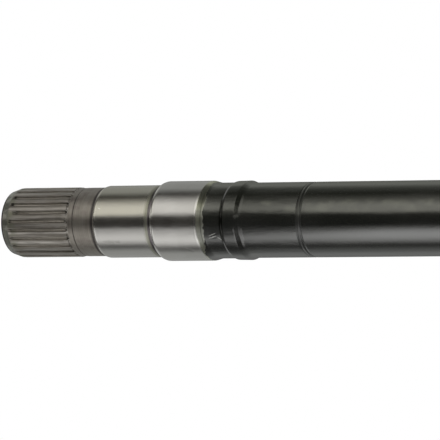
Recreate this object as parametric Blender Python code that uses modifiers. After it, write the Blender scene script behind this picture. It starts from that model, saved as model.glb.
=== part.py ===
"""Axle shaft turned from one bar: a splined end, a bearing seat, a seal journal, a waist, a collar and the bar.

Run with blender --background --python part.py. Lengths are metres. The shaft lies along +X, its splined end
face is at X = 0, and the near side of the photograph is -Y.
"""

import math

import bmesh
import bpy

MM = 0.001

# Turned diameters, from the splined end to the bar
END_FACE_DIAMETER = 27.9 * MM
SPLINE_DIAMETER = 30.7 * MM
BAND_DIAMETER = 30.1 * MM
NECK_DIAMETER = 30.25 * MM
BEARING_SEAT_DIAMETER = 31.7 * MM
SEAL_JOURNAL_DIAMETER = 35.0 * MM
WAIST_DIAMETER = 33.2 * MM
COLLAR_START_DIAMETER = 34.5 * MM
COLLAR_CROWN_DIAMETER = 34.75 * MM
BAR_DIAMETER = 32.9 * MM

# Lengths along the axis, in the same order
NOSE_LENGTH = 5.2 * MM
SPLINE_LENGTH = 28.4 * MM
BAND_LENGTH = 3.3 * MM
NECK_LENGTH = 10.6 * MM
BEARING_SEAT_LENGTH = 30.0 * MM
SEAL_JOURNAL_LENGTH = 23.1 * MM
CONE_LENGTH = 3.5 * MM
WAIST_LENGTH = 8.9 * MM
COLLAR_LENGTH = 7.3 * MM
COLLAR_FLANK_LENGTH = 2.2 * MM
BAR_LENGTH = 177.5 * MM

# Edges and corners
FACE_EDGE_RADIUS = 0.6 * MM
NOSE_SHOULDER_LENGTH = 1.0 * MM
NOSE_SHOULDER_DROP = 0.08 * MM
LEAD_LENGTH = 1.1 * MM
LEAD_DEPTH = 0.38 * MM
CORNER_RADIUS = 0.35 * MM
RELIEF_LENGTH = 3.0 * MM
RELIEF_DEPTH = 0.2 * MM
RELIEF_RAMP = 0.6 * MM
COLLAR_RAMP_LENGTH = 0.8 * MM
COLLAR_RAMP_DROP = 0.1 * MM
COLLAR_EDGE = 0.55 * MM
PLAIN_END_CHAMFER = 1.5 * MM

# Fine turned lines
SEAM_WIDTH = 0.5 * MM
SEAM_DEPTH = 0.12 * MM
BAR_LINE_WIDTH = 0.8 * MM
BAR_LINE_DEPTH = 0.15 * MM
BAR_LINES = 2
BAR_LINE_START = 27.1 * MM
BAR_LINE_PITCH = 1.8 * MM

# Spline
TEETH = 24
GROOVE_DEPTH = 1.0 * MM
GROOVE_FLOOR_WIDTH = 0.85 * MM
GROOVE_FLOOR_CORNER = 0.18 * MM
FLANK_ANGLE = math.radians(30)
GROOVE_SETBACK = 0.7 * MM
GROOVE_OVERRUN = 0.6 * MM
GROOVE_RUN_IN = 1.9 * MM
GROOVE_RUN_OUT = 1.5 * MM
SPLINE_PHASE = math.radians(-2.0)
CUT_CLEARANCE = 1.0 * MM

# Centre-drilled holes in both ends
CENTRE_MOUTH_DIAMETER = 8.5 * MM
CENTRE_DRILL_DIAMETER = 4.0 * MM
CENTRE_DRILL_LENGTH = 3.4 * MM
CENTRE_CONE_ANGLE = math.radians(60)
DRILL_POINT_ANGLE = math.radians(118)

# Facets
TURNING_STEPS = 72
ARC_STEPS = 3
RUN_STEPS = 4

# Places that follow from the lengths
SPLINE_START = NOSE_LENGTH
SPLINE_END = SPLINE_START + SPLINE_LENGTH
BAND_END = SPLINE_END + BAND_LENGTH
BEARING_SEAT_START = BAND_END + NECK_LENGTH
SEAL_JOURNAL_START = BEARING_SEAT_START + BEARING_SEAT_LENGTH
SEAL_JOURNAL_END = SEAL_JOURNAL_START + SEAL_JOURNAL_LENGTH
WAIST_START = SEAL_JOURNAL_END + CONE_LENGTH
COLLAR_START = WAIST_START + WAIST_LENGTH
COLLAR_CROWN = COLLAR_START + COLLAR_LENGTH
BAR_START = COLLAR_CROWN + COLLAR_FLANK_LENGTH
SHAFT_END = BAR_START + BAR_LENGTH

# Colours and surfaces
STEEL_COLOUR = (0.44, 0.43, 0.40, 1.0)
STEEL_ROUGHNESS = 0.3
PAINT_COLOUR = (0.012, 0.012, 0.011, 1.0)
PAINT_ROUGHNESS = 0.35


def clear_scene():
    for obj in list(bpy.context.scene.objects):
        bpy.data.objects.remove(obj, do_unlink=True)


def new_collection(name, rendered=True):
    collection = bpy.data.collections.new(name)
    collection.hide_render = not rendered
    bpy.context.scene.collection.children.link(collection)
    return collection


def principled(name, colour, roughness, metallic):
    material = bpy.data.materials.new(name)
    material.use_nodes = True
    material.diffuse_color = colour
    shader = material.node_tree.nodes["Principled BSDF"]
    shader.inputs["Base Color"].default_value = colour
    shader.inputs["Roughness"].default_value = roughness
    shader.inputs["Metallic"].default_value = metallic
    return material


def arc(centre, radius, start, end):
    """Points of an arc in the plane of axis and radius, with angles in degrees from +X towards larger radius."""
    points = []
    for step in range(ARC_STEPS + 1):
        angle = math.radians(start + (end - start) * step / ARC_STEPS)
        points.append((centre[0] + radius * math.cos(angle), centre[1] + radius * math.sin(angle)))
    return points


def centre_hole():
    """Profile of a centre-drilled hole from its point to its mouth, as depth below the face and radius."""
    drill_radius = CENTRE_DRILL_DIAMETER / 2
    mouth_radius = CENTRE_MOUTH_DIAMETER / 2
    cone_depth = (mouth_radius - drill_radius) / math.tan(CENTRE_CONE_ANGLE / 2)
    drill_depth = cone_depth + CENTRE_DRILL_LENGTH
    point_depth = drill_depth + drill_radius / math.tan(DRILL_POINT_ANGLE / 2)
    return [(point_depth, 0.0), (drill_depth, drill_radius), (cone_depth, drill_radius), (0.0, mouth_radius)]


def fine_line(start, radius, width, depth):
    """A turned V line that starts at this place on a diameter."""
    return [(start, radius), (start + width / 2, radius - depth), (start + width, radius)]


def step_up(place, low_radius, high_radius):
    """A corner radius, a flat shoulder that faces -X, and a lead-in to the larger diameter."""
    corner = arc((place - CORNER_RADIUS, low_radius + CORNER_RADIUS), CORNER_RADIUS, -90, 0)
    lead_in = [(place, high_radius - LEAD_DEPTH), (place + LEAD_LENGTH, high_radius)]
    return corner + lead_in


def nose_and_spline():
    face_radius = END_FACE_DIAMETER / 2
    spline_radius = SPLINE_DIAMETER / 2
    shoulder_radius = spline_radius - NOSE_SHOULDER_DROP
    slope = math.degrees(math.atan2(shoulder_radius - face_radius, NOSE_LENGTH - NOSE_SHOULDER_LENGTH))
    edge = arc((FACE_EDGE_RADIUS, face_radius - FACE_EDGE_RADIUS), FACE_EDGE_RADIUS, 180, 90 + slope)
    shoulder = [(SPLINE_START - NOSE_SHOULDER_LENGTH, shoulder_radius), (SPLINE_START, spline_radius)]
    return edge + shoulder + [(SPLINE_END, spline_radius)]


def band_and_neck():
    band_radius = BAND_DIAMETER / 2
    neck_radius = NECK_DIAMETER / 2
    line = fine_line(BAND_END, band_radius, SEAM_WIDTH, SEAM_DEPTH)
    line[-1] = (BAND_END + SEAM_WIDTH, neck_radius)
    return [(SPLINE_END + (SPLINE_DIAMETER - BAND_DIAMETER) / 2, band_radius)] + line


def journals():
    neck_radius = NECK_DIAMETER / 2
    seat_radius = BEARING_SEAT_DIAMETER / 2
    journal_radius = SEAL_JOURNAL_DIAMETER / 2
    relief_start = SEAL_JOURNAL_START - RELIEF_LENGTH
    points = step_up(BEARING_SEAT_START, neck_radius, seat_radius)
    points += [(relief_start, seat_radius), (relief_start + RELIEF_RAMP, seat_radius - RELIEF_DEPTH)]
    points += step_up(SEAL_JOURNAL_START, seat_radius - RELIEF_DEPTH, journal_radius)
    return points + [(SEAL_JOURNAL_END, journal_radius)]


def waist_and_collar():
    waist_radius = WAIST_DIAMETER / 2
    start_radius = COLLAR_START_DIAMETER / 2
    crown_radius = COLLAR_CROWN_DIAMETER / 2
    bar_radius = BAR_DIAMETER / 2
    ramp_end = COLLAR_START + COLLAR_RAMP_LENGTH
    edge_drop = (crown_radius - bar_radius) / COLLAR_FLANK_LENGTH * COLLAR_EDGE
    points = [(WAIST_START, waist_radius), (COLLAR_START, waist_radius)]
    points += [(ramp_end, start_radius - COLLAR_RAMP_DROP), (ramp_end + COLLAR_EDGE, start_radius)]
    points += [(COLLAR_CROWN - COLLAR_EDGE, crown_radius), (COLLAR_CROWN + COLLAR_EDGE, crown_radius - edge_drop)]
    return points + [(BAR_START - COLLAR_EDGE, bar_radius + edge_drop), (BAR_START + COLLAR_EDGE, bar_radius)]


def bar():
    bar_radius = BAR_DIAMETER / 2
    points = []
    for line in range(BAR_LINES):
        start = BAR_START + BAR_LINE_START + line * BAR_LINE_PITCH
        points += fine_line(start, bar_radius, BAR_LINE_WIDTH, BAR_LINE_DEPTH)
    return points + [(SHAFT_END - PLAIN_END_CHAMFER, bar_radius), (SHAFT_END, bar_radius - PLAIN_END_CHAMFER)]


def shaft_profile():
    """The turned outline as (place on the axis, radius), from one centre hole over the outside to the other."""
    hole = centre_hole()
    far_hole = [(SHAFT_END - depth, radius) for depth, radius in reversed(hole)]
    outside = nose_and_spline() + band_and_neck() + journals() + waist_and_collar() + bar()
    return hole + outside + far_hole


def turned_body(collection):
    outline = shaft_profile()
    mesh = bpy.data.meshes.new("axle_shaft")
    vertices = [(place, -radius, 0.0) for place, radius in outline]
    edges = [(index, index + 1) for index in range(len(outline) - 1)]
    mesh.from_pydata(vertices, edges, [])
    shaft = bpy.data.objects.new("axle_shaft", mesh)
    collection.objects.link(shaft)
    screw = shaft.modifiers.new("turning", "SCREW")
    screw.axis = "X"
    screw.steps = TURNING_STEPS
    screw.render_steps = TURNING_STEPS
    screw.use_merge_vertices = True
    screw.merge_threshold = 0.01 * MM
    return shaft


def floor_path():
    """Places and floor radii along one groove: a curved run-in, the level floor and a curved run-out."""
    land_radius = SPLINE_DIAMETER / 2
    floor_radius = land_radius - GROOVE_DEPTH
    start = SPLINE_START - GROOVE_SETBACK
    end = SPLINE_END + GROOVE_OVERRUN
    run_in = []
    run_out = []
    for step in range(RUN_STEPS + 1):
        angle = math.pi / 2 * step / RUN_STEPS
        radius = floor_radius + GROOVE_DEPTH * (1 - math.sin(angle))
        run_in.append((start + GROOVE_RUN_IN * (1 - math.cos(angle)), radius))
        run_out.append((end - GROOVE_RUN_OUT * (1 - math.cos(angle)), radius))
    return run_in + run_out[::-1]


def groove_section(floor_radius, top_radius):
    """Half the space between two teeth, as (sideways, radius) from the middle of the floor outwards."""
    corner_side = GROOVE_FLOOR_WIDTH / 2
    corner_radius = floor_radius + GROOVE_FLOOR_CORNER
    top_side = corner_side + (top_radius - corner_radius) * math.tan(FLANK_ANGLE)
    return [(corner_side - GROOVE_FLOOR_CORNER, floor_radius), (corner_side, corner_radius), (top_side, top_radius)]


def groove_mesh():
    """One groove as a loft through its sections, since its floor rises to the surface at both ends."""
    top_radius = SPLINE_DIAMETER / 2 + CUT_CLEARANCE
    form = bmesh.new()
    rings = []
    for place, floor_radius in floor_path():
        half = groove_section(floor_radius, top_radius)
        ring = half + [(-side, radius) for side, radius in reversed(half)]
        rings.append([form.verts.new((place, -radius, side)) for side, radius in ring])
    for ring, following in zip(rings, rings[1:]):
        for index in range(len(ring)):
            beside = (index + 1) % len(ring)
            form.faces.new((ring[index], ring[beside], following[beside], following[index]))
    form.faces.new(rings[0])
    form.faces.new(rings[-1])
    bmesh.ops.recalc_face_normals(form, faces=form.faces)
    mesh = bpy.data.meshes.new("groove")
    form.to_mesh(mesh)
    form.free()
    return mesh


def cut_spline(shaft, collection):
    mesh = groove_mesh()
    for tooth in range(TEETH):
        cutter = bpy.data.objects.new(f"groove_{tooth + 1:02d}", mesh)
        cutter.rotation_euler.x = SPLINE_PHASE + math.tau * tooth / TEETH
        cutter.display_type = "WIRE"
        cutter.hide_render = True
        collection.objects.link(cutter)
    grooves = shaft.modifiers.new("spline", "BOOLEAN")
    grooves.operation = "DIFFERENCE"
    grooves.operand_type = "COLLECTION"
    grooves.collection = collection
    grooves.solver = "EXACT"


def finish(shaft):
    """Makes the turned and cut form the shaft's own mesh, then paints the bar from the waist to its end."""
    graph = bpy.context.evaluated_depsgraph_get()
    mesh = bpy.data.meshes.new_from_object(shaft.evaluated_get(graph))
    shaft.modifiers.clear()
    shaft.data = mesh
    mesh.name = "axle_shaft"
    mesh.materials.clear()
    mesh.materials.append(principled("bare steel", STEEL_COLOUR, STEEL_ROUGHNESS, 1.0))
    mesh.materials.append(principled("black paint", PAINT_COLOUR, PAINT_ROUGHNESS, 0.0))
    end_hole = CENTRE_MOUTH_DIAMETER / 2
    for face in mesh.polygons:
        distance = math.hypot(face.center.y, face.center.z)
        face.material_index = int(face.center.x > WAIST_START and distance > end_hole)
    mesh.shade_smooth()
    mesh.set_sharp_from_angle(angle=math.radians(28))


def main():
    clear_scene()
    parts = new_collection("axle shaft")
    cutters = new_collection("cutters", rendered=False)
    shaft = turned_body(parts)
    cut_spline(shaft, cutters)
    finish(shaft)


main()
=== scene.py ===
"""Looks of the axle shaft: its turned and splined surface, steel, paint and studio.

Lengths are metres. The shaft lies along +X from its splined end face at X = 0, and the photograph's near
side is -Y. An angle round the shaft is measured from that near line towards +Z.
"""

import math

import bpy
import numpy as np
from mathutils import Euler, Matrix, Vector


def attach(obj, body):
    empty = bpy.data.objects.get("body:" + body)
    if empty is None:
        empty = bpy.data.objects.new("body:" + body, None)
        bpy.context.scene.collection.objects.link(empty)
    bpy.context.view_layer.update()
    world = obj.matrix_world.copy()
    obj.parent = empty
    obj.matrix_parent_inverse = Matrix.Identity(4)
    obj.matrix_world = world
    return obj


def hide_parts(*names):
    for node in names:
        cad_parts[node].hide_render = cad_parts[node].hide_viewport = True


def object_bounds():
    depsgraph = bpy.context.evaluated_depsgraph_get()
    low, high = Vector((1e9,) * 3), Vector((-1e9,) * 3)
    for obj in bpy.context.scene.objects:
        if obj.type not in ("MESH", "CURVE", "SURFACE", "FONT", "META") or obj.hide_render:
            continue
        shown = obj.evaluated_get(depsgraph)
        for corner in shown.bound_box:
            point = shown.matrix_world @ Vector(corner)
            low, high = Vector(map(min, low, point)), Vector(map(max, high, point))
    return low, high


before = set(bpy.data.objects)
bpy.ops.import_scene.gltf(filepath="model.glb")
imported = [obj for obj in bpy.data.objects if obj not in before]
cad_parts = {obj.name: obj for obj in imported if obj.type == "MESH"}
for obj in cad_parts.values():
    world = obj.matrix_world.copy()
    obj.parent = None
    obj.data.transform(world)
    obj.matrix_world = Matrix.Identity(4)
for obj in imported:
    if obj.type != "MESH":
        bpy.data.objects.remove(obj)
cad_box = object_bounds()

MM = 0.001

# Turned radii, as in the solid
END_FACE_RADIUS = 13.95 * MM
SPLINE_RADIUS = 15.35 * MM
BAND_RADIUS = 15.05 * MM
NECK_RADIUS = 15.125 * MM
SEAT_RADIUS = 15.85 * MM
JOURNAL_RADIUS = 17.5 * MM
WAIST_RADIUS = 16.6 * MM
COLLAR_START_RADIUS = 17.25 * MM
COLLAR_CROWN_RADIUS = 17.375 * MM
BAR_RADIUS = 16.45 * MM

# Places along the axis, as in the solid
SPLINE_START = 5.2 * MM
SPLINE_END = SPLINE_START + 28.4 * MM
BAND_END = SPLINE_END + 3.3 * MM
SEAT_START = BAND_END + 10.6 * MM
JOURNAL_START = SEAT_START + 30.0 * MM
JOURNAL_END = JOURNAL_START + 23.1 * MM
WAIST_START = JOURNAL_END + 3.5 * MM
COLLAR_START = WAIST_START + 8.9 * MM
COLLAR_CROWN = COLLAR_START + 7.3 * MM
BAR_START = COLLAR_CROWN + 2.2 * MM
SHAFT_END = float(cad_box[1][0])

# Shoulders, leads, hollows and the centre holes, as in the solid
NOSE_SHOULDER_LENGTH = 1.0 * MM
NOSE_SHOULDER_DROP = 0.08 * MM
LEAD_LENGTH = 1.1 * MM
LEAD_DEPTH = 0.38 * MM
RELIEF_LENGTH = 3.0 * MM
RELIEF_DEPTH = 0.2 * MM
RELIEF_RAMP = 0.6 * MM
COLLAR_RAMP_LENGTH = 0.8 * MM
COLLAR_RAMP_DROP = 0.1 * MM
COLLAR_EDGE = 0.55 * MM
END_CHAMFER = 1.5 * MM
SEAM_WIDTH = 0.5 * MM
SEAM_DEPTH = 0.12 * MM
HOLE_MOUTH_RADIUS = 4.25 * MM
HOLE_DRILL_RADIUS = 2.0 * MM
HOLE_CONE_DEPTH = 3.897 * MM
HOLE_DRILL_DEPTH = 7.297 * MM
HOLE_POINT_DEPTH = 8.499 * MM

# Where the photograph's edges lie beside the solid's
RELIEF_SHIFT = 0.5 * MM
RELIEF_STRETCH = 1.4
JOURNAL_END_SHIFT = 0.15 * MM
COLLAR_START_SHIFT = -0.6 * MM
COLLAR_CROWN_SHIFT = -0.85 * MM
FLANK_FOOT_LENGTH = 1.2 * MM
FLANK_FOOT_HEIGHT = 0.17 * MM

# Two turned lines: start, bottom and end past the bar's start, and depth, in mm
BAR_LINES = ((26.9, 27.5, 28.15, 0.23), (28.4, 28.85, 29.9, 0.34))

# Edge radii at the outline's corners
DRILL_EDGE = 0.1 * MM
CONE_EDGE = 0.2 * MM
MOUTH_EDGE = 0.15 * MM
FACE_EDGE = 0.6 * MM
NOSE_EDGE = 1.0 * MM
SPLINE_START_EDGE = 2.0 * MM
SPLINE_END_EDGE = 0.12 * MM
BAND_EDGE = 0.2 * MM
SEAM_EDGE = 0.06 * MM
LINE_EDGE = 0.12 * MM
LINE_BOTTOM_EDGE = 0.06 * MM
CORNER = 0.35 * MM
SHOULDER_EDGE = 0.08 * MM
SEAT_LEAD_EDGE = 3.0 * MM
RELIEF_EDGE = 1.2 * MM
JOURNAL_LEAD_EDGE = 6.0 * MM
JOURNAL_END_EDGE = 2.4 * MM
CONE_FOOT_EDGE = 4.0 * MM
RAMP_FOOT_EDGE = 0.4 * MM
RAMP_TOP_EDGE = 0.3 * MM
COLLAR_START_EDGE = 1.0 * MM
CROWN_EDGE = 0.8 * MM
FLANK_EDGE = 1.5 * MM
FLANK_FOOT_EDGE = 2.0 * MM
CHAMFER_EDGE = 0.2 * MM

# Rows of the surface: degrees of a corner's curve to a step, the largest share of a side that a corner may
# take, and the extra rows near the ends of a long straight stretch
ARC_STEP = 20
LEAST_TURN = 1e-4
MOST_CUT = 0.45
ROW_MARGIN = 0.12 * MM
LONG_STRETCH = 18 * ROW_MARGIN

# Rows on plain stretches, for the grooves, the dents and the edge of the paint: the first and the last past the
# start of the stretch in mm, and how many
SPLINE_ROWS = (6.8, 25.8, 3)
WAIST_ROWS = (1.5, 7.8, 10)
COLLAR_ROWS = (1.8, 4.8, 4)
BAR_ROWS = (1.3, 5.3, 5)
RUN_IN_ROWS = 7
RUN_OUT_ROWS = 5
LAST_RUN_OUT_ROW = SPLINE_END - 0.15 * MM

# Spline grooves
TEETH = 24
PITCH = math.tau / TEETH
GROOVE_DEPTH = 1.0 * MM
FLOOR_HALF_WIDTH = 0.425 * MM
FLOOR_CORNER = 0.18 * MM
FLANK_SLOPE = math.tan(math.radians(30))
GROOVE_START = SPLINE_START - 0.9 * MM
GROOVE_END = SPLINE_END + 0.75 * MM
RUN_IN = 1.9 * MM
RUN_OUT = 1.5 * MM
RUN_MARGIN = 0.2 * MM
SPLINE_PHASE = math.radians(2.1)
FLOOR_BLEND = 0.06 * MM
LAND_BLEND = 0.06 * MM
BLEND_REACH = 12 * LAND_BLEND
LEAST_LEAN = 1e-3
OUT_OF_REACH = 3.0 * MM
DRAW_SEED = 24

# Half of one tooth space, in degrees from the middle of its floor to the middle of the land
HALF_TOOTH = np.array([0.0, 1.15, 1.75, 2.4, 2.95, 3.25, 3.55, 4.2, 5.7, 7.5])

# Where the columns start to spread evenly round the neck, and over what length
SPREAD_START = SPLINE_END + 1.5 * MM
SPREAD_LENGTH = SEAT_START - SPLINE_END - 4.0 * MM

# How uneven the grooves are: starts and ends in mm, then the wear of a land, how far in degrees its bright
# stripe lies off its middle, and the dirt at a groove's ends
START_RANGE = (-0.35, 0.35)
END_RANGE = (-0.4, 0.2)
WEAR_RANGE = (0.3, 0.9)
WEAR_SHIFT_RANGE = (-1.5, 1.5)
DIRT_RANGE = (0.1, 0.9)
WEAR_HALF_WIDTH = 2.3

# Marks of the spline: how far past a groove's start and before its end the dirt lies and how far it reaches, how
# much of it shows and from what depth, and the half widths of the land's bright edge and of the shine at its end
START_DIRT_PLACE, START_DIRT_REACH = 0.9 * MM, 0.75 * MM
END_DIRT_PLACE, END_DIRT_REACH = -0.8 * MM, 0.7 * MM
DIRT_STRENGTH = 1.2
DIRTY_DEPTH = 0.18
BRIGHT_EDGE = 0.11 * MM
SHINY_EDGE = 0.3 * MM
SHINE_REACH = 1.8 * MM
LAND_DEPTH = 0.1

# Where the finishes change: before the grooves' start, after the spline's end, and over the seat's lead-in
SPLINE_FINISH_MARGIN = 0.4 * MM
SPLINE_FINISH_OVERRUN = 1.0 * MM
SEAT_FINISH_START = SEAT_START + 0.35 * LEAD_LENGTH
PAINT_FINISH_START = JOURNAL_END + 0.3 * MM

# One groove starts late. The near teeth, from the lowest up, are as the photograph shows them
LATE_GROOVE = 1
LATE_START = 2.6 * MM
NEAR_TEETH = [20, 21, 22, 23, 0, 1, 2, 3]
NEAR_WEAR = (0.8, 1.3, 1.0, 0.55, 0.55, 0.6, 0.3, 0.85)
NEAR_WEAR_SHIFT = (0.0, 0.0, 3.7, 0.8, -0.8, -1.6, 0.0, 0.6)
NEAR_START_DIRT = (0.2, 0.3, 0.2, 0.2, 0.4, 1.0, 0.95, 0.85)
NEAR_END_DIRT = (0.3, 0.4, 1.0, 0.55, 0.6, 1.0, 0.8, 0.4)

# Edge of the black paint: degrees round the shaft, and place along it in mm
PAINT_EDGE = ((-180, 103.2), (-130, 102.2), (-95, 101.1), (-60, 101.0), (-50, 101.7), (-40, 102.9),
              (-28, 103.4), (-12, 103.8), (8, 103.8), (20, 103.6), (31, 104.3), (44, 103.2), (70, 102.9),
              (120, 103.9), (180, 103.2))

# Small dents: place in mm, degrees round, half length and half width in mm, turn in degrees, depth in mm
DENTS = ((108.1, -27.0, 1.8, 0.28, 22, 0.11), (108.8, -21.0, 1.8, 0.26, 20, 0.1),
         (111.4, -29.5, 0.8, 0.45, 5, 0.1), (103.0, -23.5, 0.7, 0.45, 60, 0.06),
         (119.3, -27.0, 0.35, 1.2, 10, 0.03), (62.5, 23.0, 0.35, 0.5, 10, 0.012),
         (116.3, -19.0, 2.2, 0.5, 4, 0.03), (106.5, 24.5, 2.0, 0.5, 8, 0.025),
         (125.5, -17.0, 1.2, 0.45, 12, 0.03))

# Fine marks: width in mm, then for each mark the place in mm and degrees round of its two ends
SCRATCHES = (0.26, ((94.4, -44, 96.4, -49), (95.2, -43, 97.0, -47), (50.0, 23, 51.3, 20.5),
                    (93.2, -42, 94.8, -44.5), (84.0, 31, 87.0, 33)))
STAINS = (1.3, ((52.0, -33.0, 60.5, -34.5), (94.2, -46.5, 96.0, -51.0), (75.0, 42.0, 81.0, 44.0)))
# scuffs in the paint of the waist, painted bright as their highlights
SCUFFS_AND_HIGHLIGHTS = (0.34, ((106.0, -23.4, 109.4, -19.8), (106.0, -27.6, 109.5, -23.8), (110.3, -26.4, 111.5, -29.4),
                 (110.8, -28.0, 111.9, -30.4)))
# painted highlights on the two edges of the collar's flank, on the lower side
FLANK_HIGHLIGHTS = (0.5, ((119.2, -12.0, 119.4, -31.0), (122.7, -13.0, 122.9, -32.0)))
FLANK_SMEAR = (1.2, ((119.8, 3.5, 121.2, 8.5),))

# Light on the paint, by place in mm: where the upper band starts in degrees and its share of the light, then
# the middle of the lower band, its inner and outer half widths, its share, and the share beyond it
PAINT_LIGHT = ((108, 16.0, 1.05, -29.5, 4.2, 4.6, 0.92, 0.34), (117, 16.2, 0.8, -28.5, 7.6, 7.2, 0.82, 0.36),
               (128, 12.6, 0.78, -27.0, 9.8, 8.0, 1.1, 0.8), (140, 13.0, 0.85, -26.0, 10.5, 8.5, 1.15, 0.82),
               (165, 10.0, 1.0, -23.5, 9.2, 11.0, 1.48, 0.86), (192, 7.6, 1.0, -21.5, 9.5, 13.0, 1.8, 0.86))
DIM_SHARE = 0.17
UPPER_RISE = (-3.5, 4.0)
EDGE_SHARE = 1.13
EDGE_ZONE = (52, 64)

# Fades of the upper band and of the edge: by how much, and over which degrees
UPPER_FADES = ((0.45, 20, 32), (0.25, 41, 49))
EDGE_FADE = (0.35, 66, 78)

# The sheet that shapes this light
GEL_START = WAIST_START - 0.9 * MM
GEL_OVERHANG = 60 * MM
GEL_RADIUS = 36 * MM
GEL_REACH = 86.0
GEL_ROWS = 256
GEL_COLUMNS = 173
GEL_GLOW = 0.8
GEL_HAZE = 0.05
GEL_HIGH_TINT = (0.985, 1.0, 0.93)
GEL_LOW_TINT = (0.99, 1.0, 1.0)
GEL_TINT_CHANGE = (-6.0, 10.0)

# Camera, set from the curve and the spacing of the turned edges
CAMERA_AZIMUTH = 29.1
CAMERA_ROLL = 0.63
CAMERA_DISTANCE = 3.281
CAMERA_LENS = 613.6
CAMERA_SENSOR = 36.0
CAMERA_FAR_LIMIT = 100.0
CAMERA_TARGET = Vector((0.1033, 0.0, 0.00026))


def rounded(corners):
    """Turned outline through corners (place, radius, edge radius), each rounded by a curve.

    The curve touches both sides of its corner, at edge radius times the tangent of half the turn from it. With
    s from 0 to 1 it is (1 - s)^2 times its start, plus 2s(1 - s) times the corner, plus s^2 times its end. Long
    straight stretches get one more row near each end, so that shading stays even along them.
    """
    points = [np.array(corners[0][:2])]
    for before, here, after in zip(corners, corners[1:], corners[2:]):
        corner = np.array(here[:2])
        back = np.array(before[:2]) - corner
        ahead = np.array(after[:2]) - corner
        reach_back, reach_ahead = np.linalg.norm(back), np.linalg.norm(ahead)
        back, ahead = back / reach_back, ahead / reach_ahead
        turn = math.pi - math.acos(float(np.clip(back @ ahead, -1.0, 1.0)))
        if here[2] == 0.0 or turn < LEAST_TURN:
            points.append(corner)
            continue
        cut = min(here[2] * math.tan(turn / 2), reach_back * MOST_CUT, reach_ahead * MOST_CUT)
        steps = max(2, math.ceil(math.degrees(turn) / ARC_STEP))
        if reach_back > LONG_STRETCH:
            points.append(corner + back * (cut + ROW_MARGIN))
        share = np.linspace(0.0, 1.0, steps + 1)[:, None]
        curve = (1 - share) ** 2 * (corner + back * cut) + 2 * share * (1 - share) * corner
        points.extend(curve + share**2 * (corner + ahead * cut))
        if reach_ahead > LONG_STRETCH:
            points.append(corner + ahead * (cut + ROW_MARGIN))
    points.append(np.array(corners[-1][:2]))
    return np.array(points)


def plain_rows(places, radius):
    """Rows that nothing rounds, at places on a plain stretch."""
    return [(place, radius, 0.0) for place in places]


def row_places(start, rows):
    """Evenly spaced places past the start of a stretch, for one of the row settings above."""
    first, last, count = rows
    return np.linspace(start + first * MM, start + last * MM, count)


def step_corners(place, low, high, lead_edge):
    """A filleted corner, a shoulder that faces the splined end, and a lead-in to the larger diameter."""
    return [(place, low, CORNER), (place, high - LEAD_DEPTH, SHOULDER_EDGE),
            (place + LEAD_LENGTH, high, lead_edge)]


def hole_corners():
    """The centre hole from its point to its mouth, with depths below the face for places."""
    return [(HOLE_POINT_DEPTH, 0.0, 0.0), (HOLE_DRILL_DEPTH, HOLE_DRILL_RADIUS, DRILL_EDGE),
            (HOLE_CONE_DEPTH, HOLE_DRILL_RADIUS, CONE_EDGE), (0.0, HOLE_MOUTH_RADIUS, MOUTH_EDGE)]


def spline_corners():
    """The centre hole, the end face, the nose, the spline, the band and its seam."""
    corners = hole_corners()
    corners += [(0.0, END_FACE_RADIUS, FACE_EDGE),
                (SPLINE_START - NOSE_SHOULDER_LENGTH, SPLINE_RADIUS - NOSE_SHOULDER_DROP, NOSE_EDGE),
                (SPLINE_START, SPLINE_RADIUS, SPLINE_START_EDGE)]
    run_in = np.linspace(SPLINE_START + RUN_MARGIN, GROOVE_START + RUN_IN + RUN_MARGIN, RUN_IN_ROWS)
    run_out = np.linspace(GROOVE_END - RUN_OUT - RUN_MARGIN, LAST_RUN_OUT_ROW, RUN_OUT_ROWS)
    for places in (run_in, run_in[2:] + LATE_START, row_places(SPLINE_START, SPLINE_ROWS), run_out):
        corners += plain_rows(places, SPLINE_RADIUS)
    corners += [(SPLINE_END, SPLINE_RADIUS, SPLINE_END_EDGE),
                (SPLINE_END + SPLINE_RADIUS - BAND_RADIUS, BAND_RADIUS, BAND_EDGE)]
    corners += plain_rows(GROOVE_END + RUN_MARGIN * np.array((-1, 0, 1)), BAND_RADIUS)
    corners += [(BAND_END, BAND_RADIUS, LINE_EDGE),
                (BAND_END + SEAM_WIDTH / 2, BAND_RADIUS - SEAM_DEPTH, LINE_BOTTOM_EDGE),
                (BAND_END + SEAM_WIDTH, NECK_RADIUS, SEAM_EDGE)]
    return corners


def journal_corners():
    """The neck, the bearing seat with its relief, the seal journal, the cone and the waist."""
    relief = JOURNAL_START - RELIEF_LENGTH + RELIEF_SHIFT
    seat_low = SEAT_RADIUS - RELIEF_DEPTH
    corners = step_corners(SEAT_START, NECK_RADIUS, SEAT_RADIUS, SEAT_LEAD_EDGE)
    corners += [(relief, SEAT_RADIUS, RELIEF_EDGE),
                (relief + RELIEF_STRETCH * RELIEF_RAMP, seat_low, RELIEF_EDGE)]
    corners += step_corners(JOURNAL_START, seat_low, JOURNAL_RADIUS, JOURNAL_LEAD_EDGE)
    corners += [(JOURNAL_END + JOURNAL_END_SHIFT, JOURNAL_RADIUS, JOURNAL_END_EDGE),
                (WAIST_START, WAIST_RADIUS, CONE_FOOT_EDGE)]
    return corners + plain_rows(row_places(WAIST_START, WAIST_ROWS), WAIST_RADIUS)


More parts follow.
